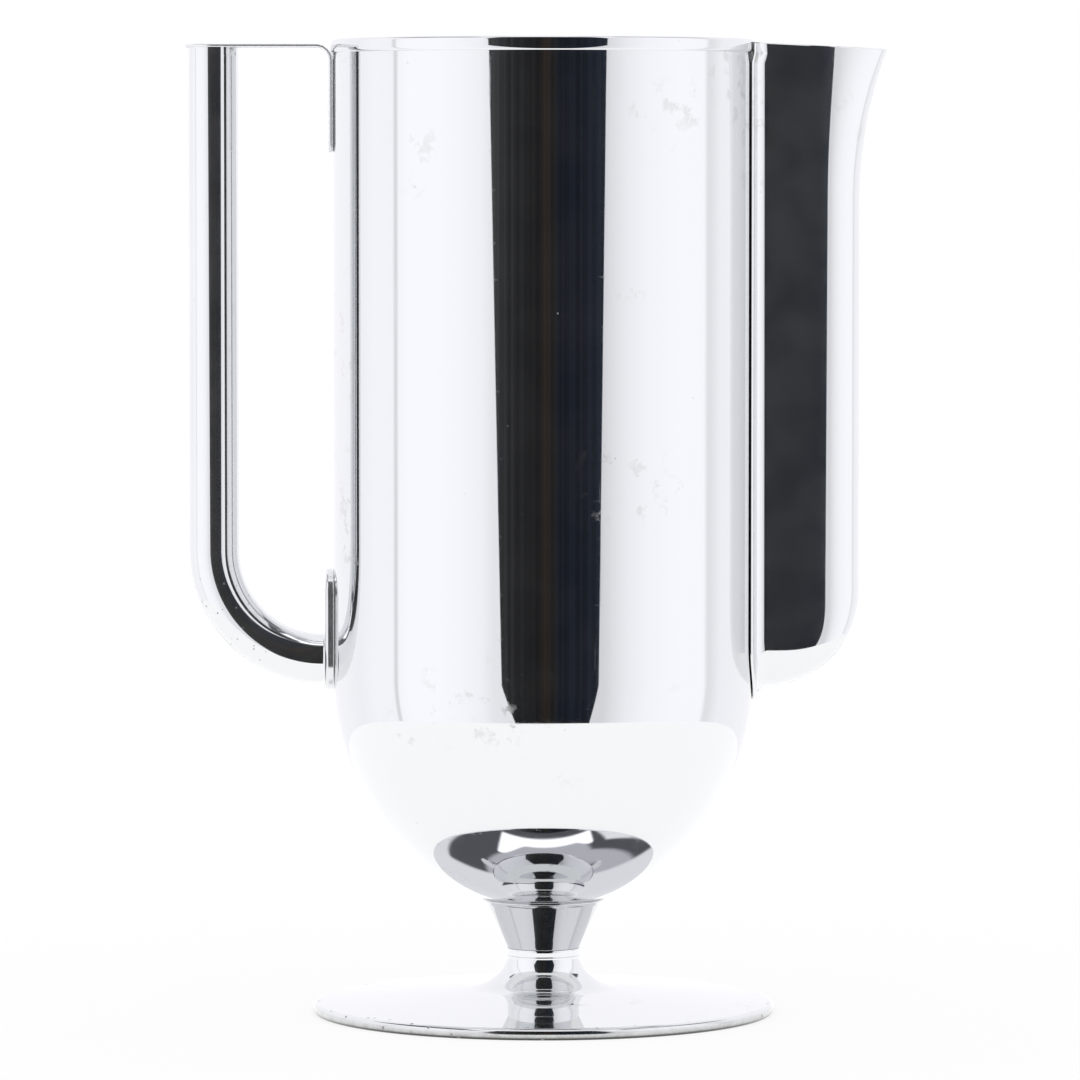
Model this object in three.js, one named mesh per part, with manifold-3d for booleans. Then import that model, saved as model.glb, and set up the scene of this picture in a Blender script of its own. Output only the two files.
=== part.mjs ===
// A free-standing chrome-plated pitcher: a straight tube with a deep round bottom on a stem and a foot,
// with a J-shaped tube handle and a tall trough spout. Millimetres, +Z up. The origin lies on the
// pitcher's axis at the table. The spout points along +X and the handle along -X.
import * as THREE from "three";
import { mergeVertices } from "three/addons/utils/BufferGeometryUtils.js";
import Module from "manifold-3d";

const wasm = await Module();
wasm.setup();

// Fineness of the round shapes
const roundSides = 40;
const stemSides = 24;
const tubeSides = 12;
const tubeSteps = 22;
const boltSides = 12;
const drillSides = 8;
const wireSides = 6;
const bowlSteps = 9;
const beadSteps = 2;
const noseSteps = 6;
const cornerSteps = 6;
const lipSteps = 5;
const strapBendSteps = 4;
const roundEndSteps = 10;
const ringSteps = 6;
const rollSteps = 6;
const filletSteps = 2;
const flareSteps = 3;

// Joints
const solderFilm = 0.3;
const lapClearance = 0.15;
const boltClearance = 0.2;

// Foot: a spun disc with a neck, its edge rolled over a wire
const footRadius = 59.3;
const footSheet = 0.7;
const footSlope = 5;
const edgeRollRadius = 1.55;
const edgeCurlEnd = -200;
const restFlat = 1.2;
const wireClearance = 0.15;
const neckRadius = 9.5;
const neckHeight = 14.8;
const neckStraight = 1.1;
const neckFillet = 2.5;
const flareStart = 48;
const flareRadius = 20;

// Stem ring, collar and the fastening inside them
const ringHeight = 1.9;
const collarLowRadius = 9.3;
const collarHighRadius = 14;
const collarHeight = 12.7;
const collarFlareHeight = 1.4;
const collarFlangeRadius = 15.6;
const collarFlange = 0.5;
const collarSheet = 0.8;
const studRadius = 3;
const studEnd = 1.2;
const studHeadRadius = 6;
const studHead = 1;
const washerRadius = 7;
const washerThickness = 1;
const nutAcrossFlats = 10;
const nutHeight = 5;

// Body: a barrel and a deep round bowl that laps into it, with a bead at the mouth
const barrelRadius = 54;
const barrelLength = 158.2;
const bowlDepth = 61.2;
const bodyWall = 1;
const lapLength = 4;
const lapRunout = 4;
const rimHeight = 3.5;
const rimProud = 0.55;
const rimTopRound = 0.75;
const rimLowChamfer = 1.1;

// Strainer holes in the barrel behind the spout
const strainRadius = 1.9;
const strainPitch = 11;
const strainRows = 12;
const strainColumn = 3.6;
const strainTop = 14;
const drillLength = 6;

// Spout trough
const spoutReach = 81;
const spoutHalfWidth = 9;
const spoutNose = 12;
const spoutNoseFlat = 1;
const spoutSheet = 1;
const spoutDrop = 4.1;
const spoutCorner = 25;
const spoutFlange = 3.5;
const lipHeight = 41.5;
const lipRadius = 113;
const lipRunOn = 3;
const spoutTopDrop = 0.8;
const spoutTopSlope = 2.8;

// Handle
const tubeRadius = 6.35;
const tubeWall = 1;
const handleReach = 84.5;
const handleBend = 28;
const handleFoot = 2.9;
const strapDrop = 1.2;
const strapSheet = 0.8;
const strapOverhang = 0.9;
const strapBend = 2.8;
const tabEnd = 28.8;
const padWidth = 14;
const padHeight = 31;
const padThickness = 1.6;
const padRise = 7.7;

// Heights up the axis, each from the one below it
const ringTop = neckHeight + ringHeight;
const collarTop = ringTop + collarHeight;
const seatRadius = barrelRadius + solderFilm;
const seatDepth = (radius) => (bowlDepth + solderFilm) * Math.sqrt(1 - (radius / seatRadius) ** 2);
const bowlCentre = collarTop + seatDepth(collarFlangeRadius);
const bowlBottom = bowlCentre - bowlDepth;
const barrelTop = bowlCentre + barrelLength;
const rimTop = barrelTop + rimHeight;
const rimRadius = barrelRadius + rimProud;

const point = (x, y) => new THREE.Vector2(x, y);
const radians = THREE.MathUtils.degToRad;

// Points along an arc of an ellipse or a circle, from one angle to another in degrees
function ellipseArc(x, y, width, height, from, to, steps) {
  return Array.from({ length: steps + 1 }, (_, i) => {
    const angle = radians(THREE.MathUtils.lerp(from, to, i / steps));
    return point(x + width * Math.cos(angle), y + height * Math.sin(angle));
  });
}

function arc(x, y, radius, from, to, steps) {
  return ellipseArc(x, y, radius, radius, from, to, steps);
}

function circle(radius, sides) {
  return arc(0, 0, radius, 0, 360 - 360 / sides, sides - 1);
}

// A turned piece about the axis, from a profile of radius and height that runs anticlockwise
function turned(profile, sides) {
  return new THREE.LatheGeometry(profile, sides).rotateX(Math.PI / 2);
}

function turnedRing(profile, sides) {
  return turned([...profile, profile[0]], sides);
}

// A shape drawn in X and Z, as thick along Y as given, centred on Y = 0
function sideExtrusion(shape, width, options = {}) {
  const geometry = new THREE.ExtrudeGeometry(shape, { depth: width, bevelEnabled: false, ...options });
  return geometry.translate(0, 0, -width / 2).rotateX(Math.PI / 2);
}

// A plain upright cylinder about the axis between two heights
function post(radius, low, high, sides) {
  return turned([point(0, low), point(radius, low), point(radius, high), point(0, high)], sides);
}

function solid(geometry) {
  const bare = geometry.index ? geometry.toNonIndexed() : geometry.clone();
  bare.deleteAttribute("normal");
  bare.deleteAttribute("uv");
  const merged = mergeVertices(bare);
  const mesh = new wasm.Mesh({
    numProp: 3,
    vertProperties: new Float32Array(merged.attributes.position.array),
    triVerts: new Uint32Array(merged.index.array),
  });
  return new wasm.Manifold(mesh);
}

function fromSolid(made) {
  const mesh = made.getMesh();
  const geometry = new THREE.BufferGeometry();
  geometry.setAttribute("position", new THREE.BufferAttribute(mesh.vertProperties, 3));
  geometry.setIndex(new THREE.BufferAttribute(mesh.triVerts, 1));
  geometry.computeVertexNormals();
  return geometry;
}

const plated = () => new THREE.MeshStandardMaterial({ color: 0xdfe1e4, metalness: 1, roughness: 0.06 });
const dullPlated = () => new THREE.MeshStandardMaterial({ color: 0xb9bbbb, metalness: 1, roughness: 0.3 });
const plainBrass = () => new THREE.MeshStandardMaterial({ color: 0xb99a58, metalness: 1, roughness: 0.35 });
const plainSteel = () => new THREE.MeshStandardMaterial({ color: 0x9a9c9f, metalness: 1, roughness: 0.4 });

const pitcher = new THREE.Group();

function place(name, geometry, material) {
  const mesh = new THREE.Mesh(geometry, material);
  mesh.name = name;
  pitcher.add(mesh);
}

// The cylinder that every piece soldered to the barrel keeps clear of, with the bead at its mouth
function barrelClearance() {
  const high = rimTop + barrelRadius;
  const barrel = solid(post(seatRadius, bowlBottom, high, roundSides));
  const bead = solid(post(rimRadius + solderFilm, barrelTop - solderFilm, high, roundSides));
  return barrel.add(bead);
}

// Tube with a row of strainer holes on each side of the spout's middle
function bodyBarrel() {
  const inside = barrelRadius - bodyWall;
  const wall = turnedRing([
    point(inside, bowlCentre),
    point(barrelRadius, bowlCentre),
    point(barrelRadius, barrelTop),
    point(inside, barrelTop),
  ], roundSides);
  let barrel = solid(wall);
  for (const side of [-1, 1]) {
    for (let row = 0; row < strainRows; row += 1) {
      const height = barrelTop - strainTop - row * strainPitch;
      const drill = new THREE.CylinderGeometry(strainRadius, strainRadius, drillLength, drillSides);
      drill.rotateZ(Math.PI / 2).translate(barrelRadius - bodyWall, side * strainColumn, height);
      barrel = barrel.subtract(solid(drill));
    }
  }
  return fromSolid(barrel);
}

// Half of a tall ellipsoid as a shell, whose joggled lip enters the barrel. The barrel's end stands on
// its step.
function bodyBowl() {
  const inside = barrelRadius - bodyWall;
  const insideDepth = bowlDepth - bodyWall;
  const lipOutside = inside - lapClearance;
  const lipInside = lipOutside - bodyWall;
  const runoutAngle = THREE.MathUtils.radToDeg(Math.asin(lapRunout / insideDepth));
  return turned([
    ...ellipseArc(0, bowlCentre, barrelRadius, bowlDepth, -90, 0, bowlSteps),
    point(lipOutside, bowlCentre),
    point(lipOutside, bowlCentre + lapLength),
    point(lipInside, bowlCentre + lapLength),
    point(lipInside, bowlCentre),
    ...ellipseArc(0, bowlCentre, inside, insideDepth, -runoutAngle, -90, bowlSteps - 1),
  ], roundSides);
}

// Band on the mouth, rounded at the top and chamfered under its proud edge
function rimBead() {
  const inside = barrelRadius - bodyWall;
  return turnedRing([
    point(inside, barrelTop),
    point(barrelRadius, barrelTop),
    point(rimRadius, barrelTop + rimLowChamfer),
    ...arc(rimRadius - rimTopRound, rimTop - rimTopRound, rimTopRound, 0, 90, beadSteps),
    ...arc(inside + rimTopRound, rimTop - rimTopRound, rimTopRound, 90, 180, beadSteps).slice(1),
  ], roundSides);
}

// Side view of the spout's flat cheeks. Its outside edge lies one nose depth further out, and its lip
// runs on a few degrees above the mouth, where the top is cut off.
function cheekOutline() {
  const back = barrelRadius / 2;
  const low = bowlCentre - spoutDrop;
  const lipStart = rimTop - lipHeight;
  const lipCentre = spoutReach + lipRadius;
  const lipSweep = THREE.MathUtils.radToDeg(Math.asin(lipHeight / lipRadius)) + lipRunOn;
  const cornerX = spoutReach - spoutCorner;
  const corner = arc(cornerX, low + spoutCorner, spoutCorner - spoutNose, -90, 0, cornerSteps);
  const lip = arc(lipCentre, lipStart, lipRadius + spoutNose, 180, 180 - lipSweep, lipSteps);
  const top = lip[lip.length - 1].y;
  return new THREE.Shape([point(back, low + spoutNose), ...corner, ...lip, point(back, top)]);
}

// The spout as a full block, its half-elliptic nose running round the edge of the cheeks
function spoutBlock(grow) {
  const shape = cheekOutline();
  return solid(sideExtrusion(shape, spoutNoseFlat, {
    bevelEnabled: true,
    bevelThickness: spoutHalfWidth + grow - spoutNoseFlat / 2,
    bevelSize: spoutNose + grow,
    bevelSegments: noseSteps,
  }));
}

// Everything above the spout's sloping top edge
function aboveSpout() {
  const size = rimTop;
  const block = new THREE.BoxGeometry(size, size, size).translate(0, 0, size / 2);
  block.rotateY(radians(spoutTopSlope)).translate(barrelRadius, 0, rimTop - spoutTopDrop);
  return solid(block);
}

function spoutTrough() {
  const flangeBand = solid(post(seatRadius + spoutSheet, bowlBottom, barrelTop - solderFilm, roundSides));
  const flange = spoutBlock(spoutFlange).intersect(flangeBand);
  const trough = spoutBlock(0).add(flange).subtract(spoutBlock(-spoutSheet));
  return fromSolid(trough.subtract(barrelClearance()).subtract(aboveSpout()));
}

// Centre line of the handle: straight down, a quarter bend and a short run to the pad. The bend is no
// larger than the room between the tube and the pad.
class HandleLine extends THREE.Curve {
  constructor(high, low, end) {
    super();
    this.radius = Math.min(handleBend, handleReach - end);
    this.high = high;
    this.low = low;
    this.drop = high - low - this.radius;
    this.bend = (this.radius * Math.PI) / 2;
    this.run = handleReach - this.radius - end;
  }

  getPoint(t, target = new THREE.Vector3()) {
    const along = t * (this.drop + this.bend + this.run);
    if (along <= this.drop) {
      return target.set(-handleReach, 0, this.high - along);
    }
    const turn = Math.min((along - this.drop) / this.radius, Math.PI / 2);
    const past = Math.max(along - this.drop - this.bend, 0);
    const x = this.radius * (1 - Math.cos(turn)) + past - handleReach;
    return target.set(x, 0, this.low + this.radius * (1 - Math.sin(turn)));
  }
}

const strapTop = rimTop - strapDrop;
const padFace = seatRadius + padThickness;
const handleLow = bowlCentre + handleFoot;

function handleTube() {
  const section = new THREE.Shape(circle(tubeRadius, tubeSides));
  section.holes.push(new THREE.Path(circle(tubeRadius - tubeWall, tubeSides)));
  const line = new HandleLine(strapTop - strapSheet - solderFilm, handleLow, padFace + solderFilm);
  return new THREE.ExtrudeGeometry(section, { steps: tubeSteps, extrudePath: line });
}

// Flat strap over the tube's end, bent down into a tab on the barrel. A wide strip bent in side view is
// trimmed to the strap's plan, which is round about the tube.
function handleTopStrap() {
  const tabFace = -seatRadius;
  const bendX = tabFace - strapSheet - strapBend;
  const bendZ = strapTop - strapSheet - strapBend;
  const far = -(handleReach + tubeRadius + strapOverhang);
  const low = rimTop - tabEnd;
  const side = new THREE.Shape([
    point(far, strapTop - strapSheet),
    ...arc(bendX, bendZ, strapBend, 90, 0, strapBendSteps),
    point(tabFace - strapSheet, low),
    point(tabFace, low),
    ...arc(bendX, bendZ, strapBend + strapSheet, 0, 90, strapBendSteps),
    point(far, strapTop),
  ]);
  const halfWidth = tubeRadius + strapOverhang;
  const plan = new THREE.Shape([
    ...arc(-handleReach, 0, halfWidth, 90, 270, roundEndSteps),
    point(0, -halfWidth),
    point(0, halfWidth),
  ]);
  const planBlock = new THREE.ExtrudeGeometry(plan, { depth: rimTop, bevelEnabled: false });
  const strap = solid(sideExtrusion(side, barrelRadius)).intersect(solid(planBlock));
  return fromSolid(strap.subtract(barrelClearance()));
}

// Plate with round ends, flat outside and hollowed to the barrel inside
function handleLowerPad() {
  const half = padWidth / 2;
  const straight = padHeight / 2 - half;
  const outline = new THREE.Shape([
    ...arc(0, straight, half, 0, 180, roundEndSteps),
    ...arc(0, -straight, half, 180, 360, roundEndSteps),
  ]);
  const depth = padFace - barrelRadius / 2;
  const plate = new THREE.ExtrudeGeometry(outline, { depth, bevelEnabled: false });
  plate.rotateX(Math.PI / 2).rotateZ(Math.PI / 2).translate(-padFace, 0, handleLow + padRise);
  return fromSolid(solid(plate).subtract(barrelClearance()));
}

// Hollow conical cup that flares into a thin flange under the bowl, with a floor that the stud passes
// through
function stemCollar() {
  const hole = studRadius + boltClearance;
  const seat = (radius) => bowlCentre - seatDepth(radius);
  const inside = collarHighRadius - collarSheet;
  return turnedRing([
    point(hole, ringTop),
    point(collarLowRadius - collarSheet, ringTop),
    point(collarLowRadius, ringTop + collarSheet),
    point(collarHighRadius, collarTop - collarFlareHeight),
    point(collarFlangeRadius, collarTop - collarFlange),
    point(collarFlangeRadius, seat(collarFlangeRadius)),
    point(inside, seat(inside)),
    point(collarLowRadius - collarSheet, ringTop + 2 * collarSheet),
    point(hole, ringTop + 2 * collarSheet),
  ], stemSides);
}

function stemRing() {
  const half = ringHeight / 2;
  const hole = studRadius + boltClearance;
  return turnedRing([
    point(hole, neckHeight),
    ...arc(neckRadius - half, neckHeight + half, half, -90, 90, ringSteps),
    point(hole, ringTop),
  ], stemSides);
}

// The rolled edge's centre sits so that its underside is cut flat at the table
const rollX = footRadius - edgeRollRadius;
const rollZ = Math.sqrt(edgeRollRadius ** 2 - (restFlat / 2) ** 2);
const rollInside = edgeRollRadius - footSheet;

// One face of the foot from the neck to the rolled edge, at a depth under the outer face
function footFace(depth) {
  const wall = neckRadius - depth;
  const fillet = neckFillet + depth;
  const bendZ = neckHeight - neckStraight;
  const bend = arc(wall + fillet, bendZ, fillet, 180, 270 - flareStart, filletSteps);
  const start = bend[bend.length - 1];
  const roll = edgeRollRadius - depth;
  const slope = radians(footSlope);
  const edge = point(rollX + roll * Math.sin(slope), rollZ + roll * Math.cos(slope));
  const fall = Math.tan(slope);
  const steep = Math.tan(radians(flareStart));
  const coneAt = (radius) => edge.y + (edge.x - radius) * fall;
  const knee = (start.y + steep * start.x - edge.y - edge.x * fall) / (steep - fall);
  const flare = new THREE.QuadraticBezierCurve(start, point(knee, coneAt(knee)),
    point(flareRadius, coneAt(flareRadius)));
  return [...bend, ...flare.getPoints(flareSteps).slice(1)];
}

// Spun foot: a closed neck with a hole for the stud, a flare, a shallow cone and the rolled edge
function foot() {
  const hole = studRadius + boltClearance;
  const under = footFace(footSheet);
  const over = footFace(0).reverse();
  const flatAngle = THREE.MathUtils.radToDeg(Math.asin(rollZ / edgeRollRadius));
  return turnedRing([
    point(hole, neckHeight - footSheet),
    point(neckRadius - footSheet, neckHeight - footSheet),
    ...under,
    ...arc(rollX, rollZ, rollInside, 90 - footSlope, edgeCurlEnd, rollSteps),
    ...arc(rollX, rollZ, edgeRollRadius, edgeCurlEnd, flatAngle - 180, filletSteps),
    ...arc(rollX, rollZ, edgeRollRadius, -flatAngle, 90 - footSlope, rollSteps - 2),
    ...over,
    point(neckRadius, neckHeight),
    point(hole, neckHeight),
  ], roundSides);
}

function footEdgeWire() {
  const radius = rollInside - wireClearance;
  const section = circle(radius, wireSides).map((corner) => point(rollX + corner.x, rollZ + corner.y));
  return turnedRing(section, roundSides);
}

const wallUnderside = neckHeight - footSheet;
const nutTop = wallUnderside - washerThickness;
const nutLow = nutTop - nutHeight;

// Stud with a flat head under the bowl
function stemStud() {
  const top = bowlBottom - solderFilm;
  return turned([
    point(0, nutLow - studEnd),
    point(studRadius, nutLow - studEnd),
    point(studRadius, top - studHead),
    point(studHeadRadius, top - studHead),
    point(studHeadRadius, top),
    point(0, top),
  ], boltSides);
}

function stemWasher() {
  const hole = studRadius + boltClearance;
  return turnedRing([
    point(hole, nutTop),
    point(washerRadius, nutTop),
    point(washerRadius, wallUnderside),
    point(hole, wallUnderside),
  ], boltSides);
}

function stemNut() {
  const corner = nutAcrossFlats / Math.sqrt(3);
  const hexagon = new THREE.Shape(circle(corner, 6));
  hexagon.holes.push(new THREE.Path(circle(studRadius + boltClearance, boltSides)));
  const nut = new THREE.ExtrudeGeometry(hexagon, { depth: nutHeight, bevelEnabled: false });
  return nut.translate(0, 0, nutLow);
}

place("body_barrel", bodyBarrel(), plated());
place("body_bowl", bodyBowl(), plated());
place("rim_bead", rimBead(), plated());
place("spout_trough", spoutTrough(), plated());
place("handle_tube", handleTube(), plated());
place("handle_top_strap", handleTopStrap(), plated());
place("handle_lower_pad", handleLowerPad(), plated());
place("stem_collar", stemCollar(), plated());
place("stem_ring", stemRing(), plated());
place("foot", foot(), dullPlated());
place("foot_edge_wire", footEdgeWire(), plainSteel());
place("stem_stud", stemStud(), plainBrass());
place("stem_washer", stemWasher(), plainSteel());
place("stem_nut", stemNut(), plainSteel());

export default pitcher;
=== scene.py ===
# Looks of the chrome pitcher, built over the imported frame. Metres, in the frame's own axes: the spout
# points along +X, the handle along -X and the camera looks along +Y.
import math
from functools import partial, reduce

import bpy
import numpy as np
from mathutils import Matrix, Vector
from mathutils.kdtree import KDTree


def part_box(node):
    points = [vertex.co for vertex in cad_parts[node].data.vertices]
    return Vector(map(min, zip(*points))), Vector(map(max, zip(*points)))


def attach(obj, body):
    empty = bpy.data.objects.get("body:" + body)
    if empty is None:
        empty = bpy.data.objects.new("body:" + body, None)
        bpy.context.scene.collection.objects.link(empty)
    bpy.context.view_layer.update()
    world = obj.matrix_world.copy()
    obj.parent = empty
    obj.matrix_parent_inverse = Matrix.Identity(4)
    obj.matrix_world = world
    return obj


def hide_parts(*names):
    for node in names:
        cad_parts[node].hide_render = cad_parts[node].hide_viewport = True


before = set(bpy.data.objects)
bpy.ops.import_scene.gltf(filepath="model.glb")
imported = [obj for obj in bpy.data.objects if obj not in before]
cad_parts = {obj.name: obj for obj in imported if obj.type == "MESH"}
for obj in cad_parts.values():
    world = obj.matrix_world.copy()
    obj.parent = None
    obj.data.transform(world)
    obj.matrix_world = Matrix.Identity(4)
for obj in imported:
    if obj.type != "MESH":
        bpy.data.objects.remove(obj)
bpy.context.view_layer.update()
MM = 0.001

# Sizes read from the frame
body_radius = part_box("body_barrel")[1].y
barrel_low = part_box("body_barrel")[0].z
barrel_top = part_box("body_barrel")[1].z
bowl_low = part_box("body_bowl")[0].z
lip_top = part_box("body_bowl")[1].z
rim_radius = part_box("rim_bead")[1].y
rim_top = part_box("rim_bead")[1].z
spout_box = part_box("spout_trough")
tube_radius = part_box("handle_tube")[1].y
handle_reach = -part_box("handle_tube")[0].x - tube_radius
handle_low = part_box("handle_tube")[0].z + tube_radius
strap_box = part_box("handle_top_strap")
pad_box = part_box("handle_lower_pad")
collar_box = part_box("stem_collar")
ring_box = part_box("stem_ring")
foot_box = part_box("foot")
stud_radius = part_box("stem_stud")[1].x / 2

# Body details
body_wall = 1.0 * MM
lap_clearance = 0.15 * MM
lap_runout = 4.0 * MM
solder = 0.3 * MM
rim_top_round = 0.75 * MM
rim_low_rise = 1.15 * MM
strain_radius = 1.9 * MM
strain_pitch = 11.0 * MM
strain_rows = 12
strain_column = 3.6 * MM
strain_top = 14.0 * MM

# Spout details
spout_reach = 81.0 * MM
spout_half = 9.0 * MM
spout_nose = 12.0 * MM
spout_sheet = 1.0 * MM
spout_corner = 25.0 * MM
spout_square = 3.0
spout_flange = 3.5 * MM
spout_fillet = 2.9 * MM
spout_edge = 0.6 * MM
spout_crown = 0.3 * MM
spout_top_drop = 0.8 * MM
spout_top_slope = math.radians(2.8)
spout_lip_height = 41.5 * MM
spout_lip_radius = 113.0 * MM
spout_lip_point = 0.45
seat_depth_share = 0.9

# Handle details
handle_bend = 28.0 * MM
tube_wall = 1.0 * MM
strap_sheet = 0.8 * MM
strap_bend = 2.8 * MM
tab_corner = 2.0 * MM
pad_round = 0.9 * MM
tube_solder = 0.6 * MM

# Stem and foot details
collar_flange = 0.5 * MM
collar_flare = 1.0 * MM
collar_low_radius = 9.3 * MM
collar_high_radius = 14.7 * MM
collar_sheet = 0.8 * MM
collar_turn = 0.2 * MM
collar_ease = 0.4 * MM
ring_crown = 0.06 * MM
bolt_clearance = 0.2 * MM
foot_sheet = 0.7 * MM
foot_slope = math.radians(5)
edge_roll = 1.55 * MM
edge_curl = -200
rest_flat = 1.2 * MM
neck_straight = 0.2 * MM
neck_fillet = 6.0 * MM
flare_start = 48
flare_radius = 20.0 * MM

# Fineness
round_sides = 256
stem_sides = 128
tube_sides = 72
cell_steps = 4
bowl_steps = 72
lining_steps = 40
nose_columns = 49
corner_rows = 33
front_rows = 7
lip_rows = 17
bend_rows = 33
leg_rows = 9
fillet_rows = 13
edge_rows = 7
cap_rows = 9
sheet_columns = 4
strap_rows = 41
end_rows = 17
tab_rows = 7
tab_steps = 4
pad_rows = 33
settle_rounds = 8
same_normal = math.cos(math.radians(2))

bowl_depth = barrel_low - bowl_low
half_turn = math.pi
quarter_turn = math.pi / 2


# Mesh helpers

def unit(vectors):
    return vectors / np.linalg.norm(vectors, axis=-1, keepdims=True)


def joined(*parts):
    """Points or directions from their coordinates, any of which may be the same all over."""
    return np.stack(np.broadcast_arrays(*parts), -1)


def circle(angle):
    return joined(np.cos(angle), np.sin(angle))


def welded(points, reach=2e-6):
    """For each point, the first point that lies at the same place."""
    tree = KDTree(len(points))
    for index, place in enumerate(points):
        tree.insert(place, index)
    tree.balance()
    owner = [-1] * len(points)
    for index, place in enumerate(points):
        if owner[index] < 0:
            for _, near, _ in tree.find_range(place, reach):
                if owner[near] < 0:
                    owner[near] = index
    return owner


def linked(name, data):
    """A new object in the scene."""
    piece = bpy.data.objects.new(name, data)
    bpy.context.scene.collection.objects.link(piece)
    return piece


class Shell:
    """Patches of faces that meet along their edges, with the true normal of the surface at each corner."""

    def __init__(self):
        self.points = []
        self.normals = []
        self.faces = []
        self.count = 0

    def add(self, points, normals):
        start = self.count
        self.points.append(points.reshape(-1, 3))
        self.normals.append(normals.reshape(-1, 3))
        self.count += len(self.points[-1])
        return start

    def patch(self, points, normals):
        """A grid of quads. The normals point out of the solid and turn the faces the right way."""
        rows, columns = points.shape[:2]
        index = np.arange(rows * columns).reshape(rows, columns)
        corners = (index[:-1, :-1], index[1:, :-1], index[1:, 1:], index[:-1, 1:])
        quads = np.stack(corners, -1).reshape(-1, 4)
        flat = points.reshape(-1, 3)[quads]
        across = np.cross(flat[:, 2] - flat[:, 0], flat[:, 3] - flat[:, 1])
        outward = normals.reshape(-1, 3)[quads].sum(1)
        wrong = (across * outward).sum(1) < 0
        quads[wrong] = quads[wrong][:, ::-1]
        start = self.add(points, normals)
        self.faces.extend((quads + start).tolist())

    def polygon(self, points, normals):
        """One flat face with any number of corners."""
        across = np.cross(points, np.roll(points, -1, 0)).sum(0)
        start = self.add(points, normals)
        ring = list(range(start, start + len(points)))
        if across @ normals.sum(0) < 0:
            ring.reverse()
        self.faces.append(ring)

    def sharp_edges(self, faces, normals):
        """Edges at which the normals of the two faces differ."""
        met = {}
        sharp = set()
        corner = 0
        for face in faces:
            size = len(face)
            for i in range(size):
                after = (i + 1) % size
                ends = sorted(((face[i], corner + i), (face[after], corner + after)))
                key = (ends[0][0], ends[1][0])
                mine = normals[[ends[0][1], ends[1][1]]]
                other = met.setdefault(key, mine)
                if (mine * other).sum(1).min() < same_normal:
                    sharp.add(key)
            corner += size
        return sharp

    def build(self, name):
        """The piece, with corners at one place welded and faces that have no area left out."""
        points = np.concatenate(self.points)
        normals = np.concatenate(self.normals)
        owner = welded(points)
        faces = []
        corners = []
        for face in self.faces:
            ring = [c for i, c in enumerate(face) if owner[c] != owner[face[i - 1]]]
            if len(ring) > 2:
                faces.append([owner[c] for c in ring])
                corners.extend(ring)
        used = sorted({vertex for face in faces for vertex in face})
        place = {vertex: i for i, vertex in enumerate(used)}
        faces = [[place[v] for v in face] for face in faces]
        mesh = bpy.data.meshes.new(name)
        mesh.from_pydata(points[used].tolist(), [], faces)
        mesh.shade_smooth()
        sharp = self.sharp_edges(faces, normals[corners])
        for edge in mesh.edges:
            edge.use_edge_sharp = tuple(sorted(edge.vertices)) in sharp
        mesh.normals_split_custom_set(normals[corners].tolist())
        return linked(name, mesh)


def line(start, end, steps=1):
    """Points from start to end in a profile, with the normals on the right of the way along it."""
    start = np.array(start, float)
    end = np.array(end, float)
    share = np.linspace(0, 1, steps + 1)[:, None]
    along = unit(end - start)
    normals = np.tile((along[1], -along[0]), (steps + 1, 1))
    return start + share * (end - start), normals


def lines(*corners):
    """Straight runs of a profile from corner to corner."""
    return [line(start, end) for start, end in zip(corners, corners[1:])]


def arc(centre, size, first, last, steps, side=1):
    """Points along an arc of an ellipse in a profile. Side is 1 where the normals leave the centre."""
    way = circle(np.radians(np.linspace(first, last, steps + 1)))
    size = np.broadcast_to(size, 2)
    return np.array(centre) + way * size, side * unit(way / size)


def bezier(first, middle, last, steps):
    """Points along a curve with one control point in a profile, with the normals on the right."""
    first, middle, last = (np.array(p, float) for p in (first, middle, last))
    t = np.linspace(0, 1, steps + 1)[:, None]
    points = (1 - t) ** 2 * first + 2 * t * (1 - t) * middle + t ** 2 * last
    along = unit((1 - t) * (middle - first) + t * (last - middle))
    return points, joined(along[:, 1], -along[:, 0])


def spun(flat, angle):
    """Rows of (radius, height), turned about the axis."""
    return joined(flat[:, :1] * np.cos(angle), flat[:, :1] * np.sin(angle), flat[:, 1:])


def lathe(name, runs, sides):
    """A piece made of runs of a profile, in radius and height, turned about the axis."""
    shell = Shell()
    angle = np.linspace(0, 2 * math.pi, sides + 1)
    for points, normals in runs:
        shell.patch(spun(points, angle), spun(normals, angle))
    return shell.build(name)


def surface(shell, function, us, vs, side):
    """A smooth patch of a function of two numbers. Side turns its normals to the outside."""
    u, v = np.meshgrid(us, vs, indexing="ij")
    step = 1e-4
    tiny = 1e-20
    along = function(u + step, v) - function(u - step, v)
    across = function(u, v + step) - function(u, v - step)
    normals = np.cross(along, across)
    length = np.linalg.norm(normals, axis=-1, keepdims=True)
    shell.patch(function(u, v), side * normals / np.maximum(length, tiny))


def grid_normals(points, side):
    """Normals of a smooth grid of points, from the differences between its neighbours."""
    along = np.gradient(points, axis=0, edge_order=2)
    across = np.gradient(points, axis=1, edge_order=2)
    normals = side * np.cross(along, across)
    same_place = 1e-9
    if np.ptp(points[0], axis=0).max() < same_place:
        normals[0] = normals[1]
    return unit(normals)


def flat_patch(shell, points, normal):
    shell.patch(points, np.broadcast_to(np.array(normal, float), points.shape).copy())


def on_wall(radius, flat):
    """Places on an upright round wall from (y, z), with the directions out from the axis."""
    y, z = flat[..., 0], flat[..., 1]
    x = np.sqrt(radius ** 2 - y ** 2)
    return joined(x, y, z), unit(joined(x, y, 0))


# Body

def level(angle):
    """Directions out from the axis."""
    return joined(np.cos(angle), np.sin(angle), 0)


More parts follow.
